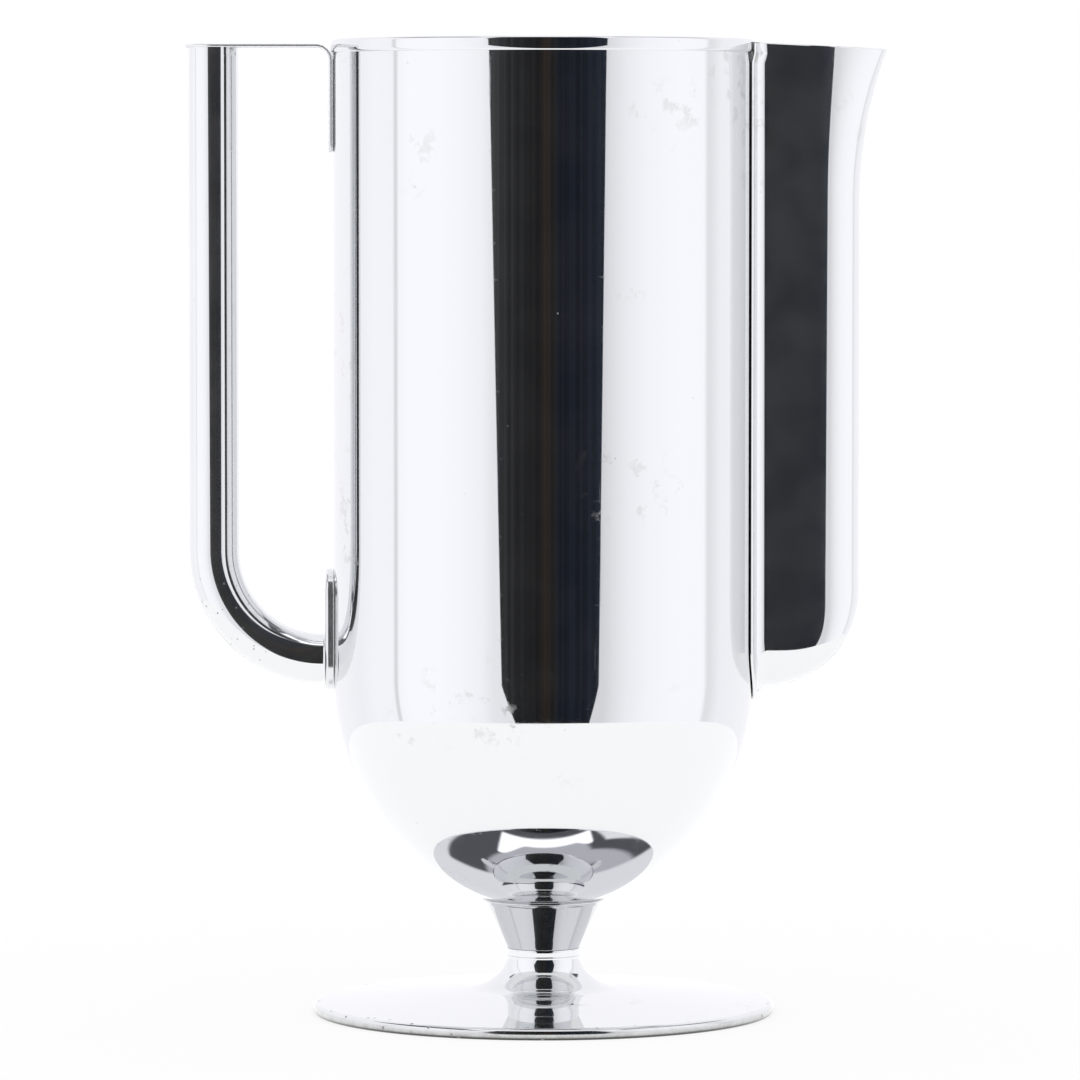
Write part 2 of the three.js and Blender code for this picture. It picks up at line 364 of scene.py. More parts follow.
def strain_cell(column, height):
    """The edge of a strainer hole's cell and the hole itself, as rows of (y, z) with matching corners."""
    walk = np.linspace(-1, 1, cell_steps + 1)[:-1]
    ones = np.ones(cell_steps)
    edge_y = np.concatenate((-walk, -ones, walk, ones, [1]))
    edge_z = np.concatenate((ones, -walk, -ones, walk, [1]))
    middle = np.array((column * strain_column, height))
    edge = middle + joined(strain_column * edge_y, strain_pitch / 2 * edge_z)
    turn = np.linspace(0.25, 2.25, 4 * cell_steps + 1) * math.pi
    return edge, middle + strain_radius * circle(turn)


def make_barrel():
    """The tube, with two columns of strainer holes on the spout's side."""
    shell = Shell()
    inner = body_radius - body_wall
    rows_z = barrel_top - strain_top - strain_pitch * np.arange(strain_rows)
    cells = [(column, height) for column in (-1, 1) for height in rows_z]
    cell_top = rows_z[0] + strain_pitch / 2
    cell_low = rows_z[-1] - strain_pitch / 2
    nodes_y = np.linspace(-2, 2, 2 * cell_steps + 1) * strain_column
    cell_nodes = np.linspace(cell_low, cell_top, cell_steps * strain_rows + 1)
    nodes_z = np.concatenate(([barrel_low], cell_nodes, [barrel_top]))
    rings = []
    for radius, side in ((body_radius, 1), (inner, -1)):
        # Cells with holes, and the plain strips above and below them
        flats = [np.stack(strain_cell(*cell)) for cell in cells]
        for ends in ((barrel_low, cell_low), (cell_top, barrel_top)):
            flats.append(np.stack(np.meshgrid(nodes_y, ends, indexing="ij"), -1))
        for flat in flats:
            places, outward = on_wall(radius, flat)
            shell.patch(places, side * outward)

        # The rest of the wall, with a face of many corners on both sides of the cells
        sector = np.arcsin(nodes_y / radius)
        plain = np.linspace(sector[-1], 2 * math.pi + sector[0], round_sides + 1)
        outward = level(plain)
        rails = np.stack([outward * radius + (0, 0, z) for z in (barrel_low, barrel_top)], 1)
        shell.patch(rails[1:-1], side * np.stack((outward, outward), 1)[1:-1])
        for near, far in ((0, 1), (-1, -2)):
            ladder = outward[near] * radius + np.outer(nodes_z, (0, 0, 1))
            normals = outward[[near] * len(nodes_z) + [far] * 2]
            shell.polygon(np.concatenate((ladder, rails[far, ::-1])), side * normals)
        rings.append(level(np.concatenate((sector, plain[1:]))) * radius)
    for height, up in ((barrel_low, -1), (barrel_top, 1)):
        flat_patch(shell, np.stack(rings) + (0, 0, height), (0, 0, up))
    for column, height in cells:
        hole = strain_cell(column, height)[1]
        sides = np.stack([on_wall(radius, hole)[0] for radius in (body_radius, inner)])
        inward = joined(0, *unit(np.array((column * strain_column, height)) - hole).T)
        shell.patch(sides, np.stack((inward, inward)))
    return shell.build("barrel")


def make_bowl():
    """The deep round bottom, with the joggled lip that enters the barrel."""
    inner = body_radius - body_wall
    lip_outer = inner - lap_clearance
    lip_inner = lip_outer - body_wall
    runout = math.degrees(math.asin(lap_runout / (bowl_depth - body_wall)))
    centre = (0, barrel_low)
    outside = arc(centre, (body_radius, bowl_depth), -90, 0, bowl_steps)
    inside = arc(centre, (inner, bowl_depth - body_wall), -runout, -90, lining_steps, -1)
    lip = lines((body_radius, barrel_low), (lip_outer, barrel_low), (lip_outer, lip_top),
                (lip_inner, lip_top), (lip_inner, barrel_low), inside[0][0])
    return lathe("bowl", [outside, *lip, inside], round_sides)


def make_rim():
    """The bead at the mouth, a little proud of the barrel and drawn in under its lower edge."""
    inner = body_radius - body_wall
    high = rim_top - rim_top_round
    outer_round = rim_radius - rim_top_round
    inner_round = inner + rim_top_round
    low = barrel_top + rim_low_rise
    runs = [
        line((inner, barrel_top), (body_radius, barrel_top)),
        arc((body_radius, low), (rim_radius - body_radius, rim_low_rise), -90, 0, 12),
        line((rim_radius, low), (rim_radius, high)),
        arc((outer_round, high), rim_top_round, 0, 90, 10),
        line((outer_round, rim_top), (inner_round, rim_top)),
        arc((inner_round, high), rim_top_round, 90, 180, 10),
        line((inner, high), (inner, barrel_top)),
    ]
    return lathe("rim", runs, round_sides)


# Spout

spout_low = spout_box[0].z + spout_flange
corner_x = spout_reach - spout_corner
corner_z = spout_low + spout_corner
lip_z = rim_top - spout_lip_height
nose_x = spout_reach - spout_nose
nose_turn = np.linspace(-quarter_turn, quarter_turn, nose_columns)

# The seat steps out to the bead from here, over one thickness of solder
rim_under = barrel_top - 1.5 * solder


def spout_top(x):
    """Height of the spout's wall, below the round of its top edge, at a distance from the axis."""
    return rim_top - spout_top_drop - spout_crown - math.tan(spout_top_slope) * (x - body_radius)


def seat(z):
    """Radius of the surface that spout and pad are soldered to, at a height: bowl, barrel and bead."""
    below = np.clip((barrel_low - z) / bowl_depth, 0, seat_depth_share)
    rise = np.clip((z - rim_under) / solder, 0, 1)
    return body_radius * np.sqrt(1 - below ** 2) + solder + rise * (rim_radius - body_radius)


def corner_radius(out):
    return spout_corner - spout_nose + out


def corner_power(out):
    """Power of the corner's curve: a circle in the middle of the nose, squarer towards the cheeks."""
    return 2 + spout_square * (1 - out / spout_nose)


def underside(x, out):
    """Height of the spout's lower edge at a distance from the axis."""
    past = np.maximum(x - corner_x, 0)
    power = corner_power(out)
    return corner_z - (corner_radius(out) ** power - past ** power) ** (1 / power)


def lip_swing(z):
    """How far the nose has swung out at a height on the lip, and how fast it does."""
    rise = np.maximum(z - lip_z, 0)
    across = np.sqrt(spout_lip_radius ** 2 - rise ** 2)
    return spout_lip_radius - across, rise / across


def nose_section(z, grow):
    """Places and normals round the nose at heights above its corner. An ellipse, which the lip draws out
    to a slight point."""
    swing, slope = lip_swing(z)
    deep = spout_nose + grow + swing
    wide = spout_half + grow
    power = 2 - spout_lip_point * (np.maximum(z - lip_z, 0) / spout_lip_height) ** 2
    ahead = np.cos(nose_turn) ** (2 / power)
    beside = np.abs(np.sin(nose_turn)) ** (2 / power)
    side = np.sign(nose_turn)
    places = joined(nose_x + deep * ahead, wide * side * beside, z)
    forward = ahead ** (power - 1) / deep
    return places, unit(joined(forward, side * beside ** (power - 1) / wide, -forward * ahead * slope))


def nose_grid(grow, first_x):
    """Places and normals of the nose, from its first rows round the corner and up to the sloping top."""
    deep = spout_nose + grow
    wide = spout_half + grow
    out = deep * np.cos(nose_turn)
    radius = corner_radius(out)
    power = corner_power(out)
    begin = np.arccos(np.clip((first_x - corner_x) / radius, 0, 1) ** (power / 2))
    turn = begin * np.linspace(1, 0, corner_rows)[:, None]
    ahead = np.cos(turn) ** (2 / power)
    below = np.sin(turn) ** (2 / power)
    beside = np.sin(nose_turn)
    corner = joined(corner_x + radius * ahead, wide * beside, corner_z - radius * below)
    tiny = 1e-12
    growth = ahead ** power * np.log(ahead + tiny) + below ** power * np.log(below + tiny)
    swell = 1 + radius / power * growth * spout_square / spout_nose
    forward = np.cos(nose_turn) / deep
    corner_normals = unit(joined(forward * ahead ** (power - 1), swell * beside / wide,
                                 -forward * below ** (power - 1)))
    top = lip_z + 0 * out
    for _ in range(settle_rounds):
        top = spout_top(nose_section(top, grow)[0][..., 0])
    front = np.linspace(corner_z, lip_z, front_rows)[1:, None] + 0 * out
    lip = lip_z + np.linspace(0, 1, lip_rows)[1:, None] * (top - lip_z)
    places, normals = nose_section(np.concatenate((front, lip)), grow)
    return np.concatenate((corner, places)), np.concatenate((corner_normals, normals))


def cheek_share(heights):
    return (heights - heights[0]) / (heights[-1] - heights[0])


def foot_path(turn, off, x):
    """Place (y, z) on the spout's lower edge, or beside it, round the nose."""
    away = unit(joined(np.sin(turn) / spout_half, -np.cos(turn) / spout_nose))
    y = spout_half * np.sin(turn) + off * away[..., 0]
    return y, underside(x, spout_nose * np.cos(turn)) + off * away[..., 1]


def cheek_path(side, share, off, x):
    """Place (y, z) on the back edge of a cheek, or beside it, at a share of its height."""
    low = underside(x, 0)
    return side * (spout_half + off), low + share * (spout_top(x) - low)


def settle(path, along, off, rise, ahead):
    """Places beside a path, at a rise over the seat and a distance ahead of it."""
    x = body_radius + 0 * off
    for _ in range(settle_rounds):
        y, z = path(along, off, x)
        x = np.sqrt((seat(z) + rise) ** 2 - y ** 2) + ahead
    return joined(x, *path(along, off, x))


def fillet_of(path, along, angle):
    """Places on the hollow fillet between the spout and its flange."""
    off = spout_fillet * (1 - np.cos(angle))
    return settle(path, along, off, spout_edge, spout_fillet * (1 - np.sin(angle)))


def edge_of(path, along, angle):
    """Places on the rounded edge of the flange."""
    off = spout_fillet + spout_edge * np.sin(angle)
    return settle(path, along, off, spout_edge * np.cos(angle), 0)


def make_spout():
    """The trough: nose, flat cheeks, fillet and thin flange on the barrel, and the inside."""
    shell = Shell()
    left = partial(cheek_path, -1)
    right = partial(cheek_path, 1)
    sides = ((-1, 0, left), (1, -1, right))
    quarter = np.linspace(0, quarter_turn, fillet_rows)
    short_quarter = np.linspace(0, quarter_turn, edge_rows)
    columns = np.linspace(0, 1, sheet_columns)[:, None]

    # Outside of the nose, from the fillet's edge round the corner and up to the top
    places, normals = nose_grid(0, fillet_of(foot_path, nose_turn, 0 * nose_turn)[:, 0])
    shell.patch(places, normals)

    # Fillet and flange edge, round the foot of the spout and up both cheeks
    shares = cheek_share(places[:, 0, 2])
    ends = []
    for path, along, side in ((foot_path, nose_turn, -1), (right, shares, -1), (left, shares, 1)):
        surface(shell, partial(fillet_of, path), along, quarter, side)
        surface(shell, partial(edge_of, path), along, short_quarter, side)
        ends.append(edge_of(path, along, np.full(len(along), quarter_turn)))

    # Cheeks, ruled from the fillet to the nose
    cheek_tops = []
    for side, column, path in sides:
        back = fillet_of(path, shares, 0 * shares)
        cheek = back[:, None] + (places[:, column] - back)[:, None] * columns
        flat_patch(shell, cheek, (0, side, 0))
        cheek_tops.append(cheek[-1])

    # Inside of the trough
    inner_out = (spout_nose - spout_sheet) * np.cos(nose_turn)
    inner_y = (spout_half - spout_sheet) * np.sin(nose_turn)
    inner_places, inner_normals = nose_grid(-spout_sheet, np.full(len(inner_out), corner_x))
    shell.patch(inner_places, -inner_normals)
    keel_z = corner_z - corner_radius(inner_out)
    wall_x = np.sqrt(seat(keel_z) ** 2 - inner_y ** 2)
    keel = joined(wall_x + (corner_x - wall_x) * columns, inner_y, keel_z)
    shell.patch(keel, np.broadcast_to(-inner_normals[:1], keel.shape))
    inner_ends = []
    inner_tops = []
    for side, column, path in sides:
        edge = inner_places[:, column]
        share = cheek_share(edge[:, 2])
        back = settle(path, share, 0 * share - spout_sheet, 0, 0)
        cheek = back[:, None] + (edge - back)[:, None] * columns
        flat_patch(shell, cheek, (0, -side, 0))
        inner_ends.append(cheek[:, 0])
        inner_tops.append(cheek[-1])

    # Underside of the flange, on the barrel
    strips = []
    for outer, inner in ((ends[0], keel[0]), (ends[2], inner_ends[0]), (ends[1], inner_ends[1])):
        flat = outer[:, None, 1:] + columns * (inner - outer)[:, None, 1:]
        strip, outward = on_wall(seat(flat[..., 1]), flat)
        shell.patch(strip, -outward)
        strips.append(strip[-1])

    # Rounded top edge all the way round, and the two ends of the flange
    starts = []
    for path in (left, right):
        starts.append(np.concatenate((edge_of(path, 1, short_quarter)[::-1],
                                      fillet_of(path, 1, quarter)[::-1][1:])))
    gather = len(starts[0])
    outer_path = np.concatenate((starts[0], cheek_tops[0][1:], places[-1][1:], cheek_tops[1][::-1][1:],
                                 starts[1][::-1][1:]))
    inner_path = np.concatenate((np.repeat(inner_tops[0][:1], gather, 0), inner_tops[0][1:],
                                 inner_places[-1][1:], inner_tops[1][::-1][1:],
                                 np.repeat(inner_tops[1][:1], gather - 1, 0)))
    across = np.linspace(0, half_turn, cap_rows)
    t = (1 - np.cos(across)[:, None]) / 2
    cap = outer_path[:, None] * (1 - t) + inner_path[:, None] * t
    cap[..., 2] += spout_crown * np.sin(across)
    sideways = unit(outer_path - inner_path)
    sideways[:, 2] = 0
    normals = sideways[:, None] * np.cos(across)[:, None]
    normals[..., 2] += np.sin(across)
    tiny_rise = (0, 0, 1e-6)
    shell.patch(cap, unit(normals + tiny_rise))
    for end, strip in ((cap[0], strips[1]), (cap[-1], strips[2])):
        ring = np.concatenate((end, strip[::-1][1:-1]))
        shell.polygon(ring, np.tile((-1.0, 0.0, 0.0), (len(ring), 1)))
    return shell.build("spout")


# Handle

def make_tube():
    """The J-shaped tube: straight down, a quarter bend and the run to the pad."""
    shell = Shell()
    high = strap_box[1].z - strap_sheet
    bend_z = handle_low + handle_bend
    bend_x = handle_bend - handle_reach
    turn = np.linspace(0, quarter_turn, bend_rows)
    ahead, below = np.cos(turn), np.sin(turn)

    # The way of the middle in (x, z), with the direction to the inside of the bend
    leg = joined(-handle_reach, np.linspace(high, bend_z, leg_rows)[:-1], 1, 0)
    bend = joined(bend_x - handle_bend * ahead, bend_z - handle_bend * below, ahead, below)
    run = [(pad_box[0].x - tube_solder, handle_low, 0, 1)]
    x, z, inward_x, inward_z = np.concatenate((leg, bend, run)).T
    around = np.linspace(0, 2 * math.pi, tube_sides + 1)[:, None]
    radial = joined(inward_x, 0, inward_z)[:, None] * np.cos(around) + np.array((0, 1, 0)) * np.sin(around)
    centre = joined(x, 0, z)[:, None]
    outer = centre + radial * tube_radius
    inner = centre + radial * (tube_radius - tube_wall)
    shell.patch(outer, radial)
    shell.patch(inner, -radial)
    flat_patch(shell, np.stack((outer[0], inner[0])), (0, 0, 1))

    # Solder round the end on the pad
    rise = np.linspace(0, quarter_turn, 9)[:, None, None]
    ring = radial[-1]
    forward = np.array((1, 0, 0))
    fillet = centre[-1] + ring * (tube_radius + tube_solder * (1 - np.cos(rise)))
    fillet = fillet + forward * tube_solder * np.sin(rise)
    shell.patch(fillet, ring * np.cos(rise) - forward * np.sin(rise))
    bore_end = inner[-1] + forward * tube_solder
    shell.patch(np.stack((inner[-1], bore_end)), -np.stack((ring, ring)))
    flat_patch(shell, np.stack((fillet[-1], bore_end)), (1, 0, 0))
    return shell.build("tube")


def strap_outline(inset, half, length):
    """Half of the strap's flat outline, drawn in by an inset: its round end, side and square end."""
    turn = np.linspace(0, quarter_turn, end_rows)
    round_end = joined(half - (half - inset) * np.cos(turn), (half - inset) * np.sin(turn))
    side = joined(np.linspace(half, length - tab_corner, strap_rows)[1:], half - inset)
    turn = np.linspace(0, quarter_turn, tab_rows)[1:]
    corner = joined(length - tab_corner + (tab_corner - inset) * np.sin(turn),
                    half - tab_corner + (tab_corner - inset) * np.cos(turn))
    end = joined(length - inset, (half - tab_corner) * np.linspace(1, 0, tab_steps + 1)[1:])
    return np.concatenate((round_end, side, corner, end))


def make_strap():
    """Thin sheet over the tube's end, bent down into a tab that is rolled to fit the barrel."""
    shell = Shell()
    half = strap_box[1].y
    mid = strap_sheet / 2
    mid_bend = strap_bend + mid
    seat_x = body_radius + solder + mid
    level_z = strap_box[1].z - mid
    run = -seat_x - mid_bend - strap_box[0].x
    bend_length = mid_bend * quarter_turn
    length = run + bend_length + level_z - mid_bend - strap_box[0].z

    def bent(s, y, h):
        turn = np.clip((s - run) / mid_bend, 0, quarter_turn)
        past = np.maximum(s - run - bend_length, 0)
        hug = (turn / quarter_turn) ** 2 * (seat_x - np.sqrt(seat_x ** 2 - y ** 2))
        x = strap_box[0].x + np.minimum(s, run) + (mid_bend + h) * np.sin(turn) + hug
        return joined(x, y, level_z - mid_bend + (mid_bend + h) * np.cos(turn) - past)

    # Rounded edges
    outer = strap_outline(0, half, length)
    inner = strap_outline(mid, half, length)
    angle = np.linspace(-quarter_turn, quarter_turn, 9)
    share = 1 - np.cos(angle)[:, None]
    flat = outer[:, None] * (1 - share) + inner[:, None] * share
    for side in (-1, 1):
        points = bent(flat[..., 0], side * flat[..., 1], mid * np.sin(angle))
        shell.patch(points, grid_normals(points, -side))

    # Upper and lower faces
    face = inner[:-tab_steps]
    share = np.linspace(-1, 1, 2 * tab_steps + 1)
    for height in (-mid, mid):
        points = bent(face[:, :1] + 0 * share, face[:, 1:] * share, height)
        shell.patch(points, grid_normals(points, math.copysign(1, height)))
    return shell.build("strap")


def make_pad():
    """Plate with round ends: flat in front with a rounded edge, and hollowed to the barrel behind."""
    shell = Shell()
    half = pad_box[1].y
    middle = (pad_box[0].z + pad_box[1].z) / 2
    straight = (pad_box[1].z - pad_box[0].z) / 2 - half
    front = pad_box[0].x
    mirrored = np.array((-1, 1, 1))
    turn = np.linspace(0, half_turn, pad_rows)
    way_y = np.concatenate((np.cos(turn), np.cos(turn + half_turn), [1]))
    way_z = np.concatenate((np.sin(turn), np.sin(turn + half_turn), [0]))
    base_z = middle + straight * np.concatenate((np.ones(pad_rows), -np.ones(pad_rows), [1]))
    right = np.r_[pad_rows + pad_rows // 2:2 * pad_rows, 0:pad_rows // 2 + 1]

    def outline(inset):
        return joined(way_y * (half - inset), base_z + way_z * (half - inset))

    def face(inset):
        edge = outline(inset)[right]
        return joined(edge[:, :1] * np.linspace(-1, 1, 9), edge[:, 1:])

    # Rounded front edge, sides and the two faces
    angle = np.linspace(0, quarter_turn, 9)[:, None]
    flat = outline(pad_round * (1 - np.cos(angle)))
    ring = joined(front + pad_round * (1 - np.sin(angle)), flat[..., 0], flat[..., 1])
    shell.patch(ring, joined(-np.sin(angle), way_y * np.cos(angle), way_z * np.cos(angle)))
    flat = outline(0)
    back = on_wall(seat(flat[:, 1]), flat)[0] * mirrored
    side = joined(0, way_y, way_z)
    shell.patch(np.stack((ring[0], back)), np.stack((side, side)))
    flat = face(pad_round)
    flat_patch(shell, joined(front, flat[..., 0], flat[..., 1]), (-1, 0, 0))
    flat = face(0)
    places, outward = on_wall(seat(flat[..., 1]), flat)
    shell.patch(places * mirrored, -outward * mirrored)
    return shell.build("pad")


# Stem and foot

stud_hole = stud_radius + bolt_clearance


def bowl_z(radius, grow):
    """Height of the bowl's underside at a radius, or of a surface that stands off it."""
    return barrel_low - (bowl_depth + grow) * math.sqrt(1 - (radius / (body_radius + grow)) ** 2)


def make_collar():
    """The flared cup under the bowl, with its thin flange and the solder between the two."""
    low = collar_box[0].z
    high = collar_box[1].z
    floor = low + 2 * collar_sheet
    lip = collar_flange / 2
    lip_radius = collar_box[1].y - lip
    inner = collar_high_radius - collar_sheet
    inner_low = collar_low_radius - collar_sheet
    flare = np.array((collar_high_radius, high - collar_flare))
    turn = np.array((collar_low_radius - collar_turn, low + collar_turn))
    rise = flare - turn
    lean = math.atan2(rise[0], rise[1]) - math.asin(collar_turn / math.hypot(*rise))
    cone_low = turn + collar_turn * np.array((math.cos(lean), -math.sin(lean)))
    cone_high = flare - collar_ease * unit(flare - cone_low)
    flange_low = np.array((lip_radius, high - collar_flange))
    flange_near = flare + collar_ease * unit(flange_low - flare)
    flange_edge = arc((lip_radius, high - lip), lip, -90, 30, 8)
    solder_end = (lip_radius - lip, bowl_z(lip_radius - lip, 0))
    inside = lines(flange_edge[0][-1], solder_end, (inner, bowl_z(inner, solder)), (inner_low, floor),
                   (stud_hole, floor), (stud_hole, low))
    runs = [
        line((stud_hole, low), (turn[0], low)),
        arc(turn, collar_turn, -90, -math.degrees(lean), 6),
        line(cone_low, cone_high, 6),
        bezier(cone_high, flare, flange_near, 8),
        line(flange_near, flange_low),
        flange_edge,
    ]
    return lathe("collar", runs + inside, stem_sides)


def make_ring():
    """The bright ring on the neck, with a slight crown."""
    low = ring_box[0].z
    high = ring_box[1].z
    half = (high - low) / 2
    outer = ring_box[1].y - ring_crown
    crown = arc((outer, low + half), (ring_crown, half), -90, 90, 16)
    flats = lines((outer, high), (stud_hole, high), (stud_hole, low), (outer, low))
    return lathe("ring", [crown, *flats], stem_sides)


neck_radius = ring_box[1].y
foot_radius = foot_box[1].y
roll_x = foot_radius - edge_roll
roll_z = math.sqrt(edge_roll ** 2 - (rest_flat / 2) ** 2)


def foot_face(depth):
    """One face of the foot from the neck to the rolled edge, at a depth under the outside."""
    fillet = neck_fillet + depth
    bend_z = foot_box[1].z - neck_straight
    bend = arc((neck_radius - depth + fillet, bend_z), fillet, 180, 270 - flare_start, 10, -1)
    start = bend[0][-1]
    roll = edge_roll - depth
    edge = np.array((roll_x + roll * math.sin(foot_slope), roll_z + roll * math.cos(foot_slope)))
    fall = math.tan(foot_slope)
    steep = math.tan(math.radians(flare_start))
    knee = (start[1] + steep * start[0] - edge[1] - edge[0] * fall) / (steep - fall)

    def cone(radius):
        return radius, edge[1] + (edge[0] - radius) * fall

    flare = bezier(start, cone(knee), cone(flare_radius), 24)
    slope = line(cone(flare_radius), edge, 6)
    return [bend, (flare[0], -flare[1]), (slope[0], -slope[1])]


def make_foot():
    """Spun foot: closed neck, flare, shallow cone and the edge that is rolled over a wire."""
    high = foot_box[1].z
    low_wall = high - foot_sheet
    inner = neck_radius - foot_sheet
    flat = math.degrees(math.asin(roll_z / edge_roll))
    slope = math.degrees(foot_slope)
    over = foot_face(0)
    under = [(points, -normals) for points, normals in foot_face(foot_sheet)]
    roll_inner = edge_roll - foot_sheet
    centre = np.array((roll_x, roll_z))
    curl = circle(math.radians(edge_curl))
    neck = lines(over[0][0][0], (neck_radius, high), (stud_hole, high), (stud_hole, low_wall),
                 (inner, low_wall), under[0][0][0])
    edge = [
        arc(centre, roll_inner, 90 - slope, edge_curl, 36, -1),
        line(centre + curl * roll_inner, centre + curl * edge_roll),
        arc(centre, edge_roll, edge_curl, flat - 180, 12),
        line((roll_x - rest_flat / 2, 0), (roll_x + rest_flat / 2, 0)),
        arc(centre, edge_roll, -flat, 90 - slope, 28),
    ]
    return lathe("foot_disc", neck + edge + over + under, round_sides)


# Materials

class Nodes:
    """A node tree, with short ways to add and join nodes."""

    def __init__(self, tree, coordinates="Object"):
        self.tree = tree
        self.place = self.add("ShaderNodeTexCoord").outputs[coordinates]
        self.x, self.y, self.z = self.add("ShaderNodeSeparateXYZ", self.place).outputs

    def add(self, kind, *first, **rest):
        """Adds a node, with values for its first inputs in order, settings in small letters, and values for
        inputs by their names, with _ for a space."""
        node = self.tree.nodes.new(kind)
        for key, value in rest.items():
            if key.islower():
                setattr(node, key, value)
            else:
                self.put(node.inputs[key.replace("_", " ")], value)
        for socket, value in zip(node.inputs, first):
            self.put(socket, value)
        return node

    def put(self, socket, value):
        """Joins another node's output to a socket, or sets a number, place or colour on it."""
        if isinstance(value, bpy.types.NodeSocket):
            self.tree.links.new(value, socket)
        elif socket.type == "RGBA":
            socket.default_value = (*value, 1)
        else:
            socket.default_value = value

    def finish(self, **inputs):
        """Gives the shader its inputs, named in the same way."""
        for key, value in inputs.items():
            self.put(self.shader.inputs[key.replace("_", " ")], value)
        return self.material

    def scaled(self, scale, turn=(0, 0, 0)):
        return self.add("ShaderNodeMapping", Vector=self.place, Scale=scale, Rotation=turn).outputs[0]

    def noise(self, scale, detail=3.0, rough=0.5, vector=None):
        node = self.add("ShaderNodeTexNoise", Scale=scale, Detail=detail, Roughness=rough)
        self.put(node.inputs["Vector"], vector or self.place)
        return node.outputs["Fac"]

    def spread(self, value, low, high, to_low=0.0, to_high=1.0):
        """Spreads the part of a value between low and high smoothly over another range."""
        ends = (low, high, to_low, to_high)
        return self.add("ShaderNodeMapRange", value, *ends, interpolation_type="SMOOTHSTEP").outputs[0]

    def math(self, kind, first, second=0.0):
        return self.add("ShaderNodeMath", first, second, operation=kind).outputs[0]

    def total(self, *values):
        return reduce(partial(self.math, "ADD"), values)

    def product(self, *values):
        return reduce(partial(self.math, "MULTIPLY"), values)

    def blend(self, share, first, second, kind="MIX"):
        node = self.add("ShaderNodeMix", share, data_type="RGBA", blend_type=kind)
        self.put(node.inputs[6], first)
        self.put(node.inputs[7], second)
        return node.outputs[2]

    def bump(self, height, distance, below=None):
        node = self.add("ShaderNodeBump", Height=height, Distance=distance)
        if below:
            self.put(node.inputs["Normal"], below)
        return node.outputs[0]

    def pits(self, scale, size, rarity):
        """Small round spots, in the cells of a random grid whose chance is above the rarity."""
        cells = self.add("ShaderNodeTexVoronoi", Vector=self.place, Scale=scale).outputs
        chance = self.add("ShaderNodeSeparateColor", cells["Color"]).outputs[0]
        spot = self.spread(cells["Distance"], size, size * 0.5)
        return self.product(spot, self.spread(chance, rarity, rarity + 0.02))

    def hairlines(self, scale, turn, low, high):
        """Fine straight scratches along one direction."""
        return self.spread(self.noise(1, 1, 0.4, self.scaled(scale, turn)), low, high)


def new_material(name):
    material = bpy.data.materials.new(name)
    material.use_nodes = True
    n = Nodes(material.node_tree)
    n.material = material
    n.shader = material.node_tree.nodes["Principled BSDF"]
    return n


# Colours, and how far each mark changes the colour or the roughness
plate_colour = (0.76, 0.77, 0.78)
collar_colour = (0.67, 0.68, 0.69)
smear_colour = (0.60, 0.60, 0.60)
pit_colour = (0.30, 0.29, 0.28)
dull_colour = (0.34, 0.34, 0.335)
# Painted contact shade under the foot's rolled edge, where the floor is in shadow
contact_shade_colour = (0.05, 0.05, 0.048)
tin_light = (0.66, 0.66, 0.64)
tin_dark = (0.54, 0.54, 0.52)
stain_colour = (0.46, 0.45, 0.42)
brass_light = (0.55, 0.40, 0.16)
brass_dark = (0.40, 0.27, 0.10)
steel_light = (0.42, 0.43, 0.44)
steel_dark = (0.30, 0.30, 0.30)
plate_haze = 0.035
plate_grease = 0.12
grease_roughness = 0.45
smear_share = 0.55
smear_haze = 0.14
line_haze = 0.02
scratch_haze = 0.05
pit_haze = 0.4
pit_depth = 0.04 * MM
# Heights at which the painted contact shade starts and where it is full, at the bottom of the rolled edge
contact_shade_top = 1.0 * MM
contact_shade_full = 0.3 * MM
tin_dust = 0.3
stain_share = 0.35
stain_haze = 0.08


def plating(n, haze, wave, grease, pits, dull=None, dust=0.0, base=plate_colour):
    """Polished chrome: draw lines, smears, hair scratches and pits under a cloudy film of grease, and a dull
    worn part if there is one, darkened towards black at its lowest edge as painted contact shade."""
    fine_smears = n.spread(n.noise(190, 5, 0.65), 0.55, 0.66)
    smears = n.product(fine_smears, n.spread(n.noise(24, 2, 0.5), 0.57, 0.66))
    draw_lines = n.noise(1, 2, 0.5, n.scaled((900, 900, 6)))
    scratches = n.total(n.hairlines((1600, 1600, 45), (0.9, 0.5, 0), 0.70, 0.74),
                        n.hairlines((40, 1500, 1500), (0.2, 0.6, 0.4), 0.71, 0.75))
    rough = n.total(n.spread(n.noise(700, 3, 0.6), 0.3, 0.8, haze * 0.7, haze * 1.3),
                    n.spread(draw_lines, 0.55, 0.8, 0, line_haze), n.product(smears, smear_haze),
                    n.product(scratches, scratch_haze), n.product(pits, pit_haze))
    colour = n.blend(n.product(smears, smear_share), base, smear_colour)
    if dull:
        rough = n.total(rough, n.product(dull, n.spread(n.noise(2400, 3, 0.6), 0.2, 0.8, 0.16, 0.34)))
        blotches = n.spread(n.noise(420, 4, 0.7), 0.3, 0.7, 0.65, 1)
        colour = n.blend(n.product(dull, blotches), colour, dull_colour)
        # Painted shade: the bottom of the dull edge goes towards black near the floor, standing for the
        # contact shadow there
        colour = n.blend(n.product(dull, n.spread(n.z, contact_shade_top, contact_shade_full)), colour, contact_shade_colour)
    clouds = n.total(n.noise(75, 3, 0.55), n.product(n.noise(420, 3, 0.6), 0.35))
    waves = n.bump(n.noise(38, 1, 0.4), wave)
    return n.finish(Base_Color=n.blend(pits, colour, pit_colour), Roughness=rough, Metallic=1 - dust,
                    Coat_Weight=n.spread(clouds, 0.45, 0.95, grease * 0.4, grease * 1.6),
                    Coat_Roughness=grease_roughness,
                    Normal=n.bump(n.math("SUBTRACT", 1, pits), pit_depth, waves))


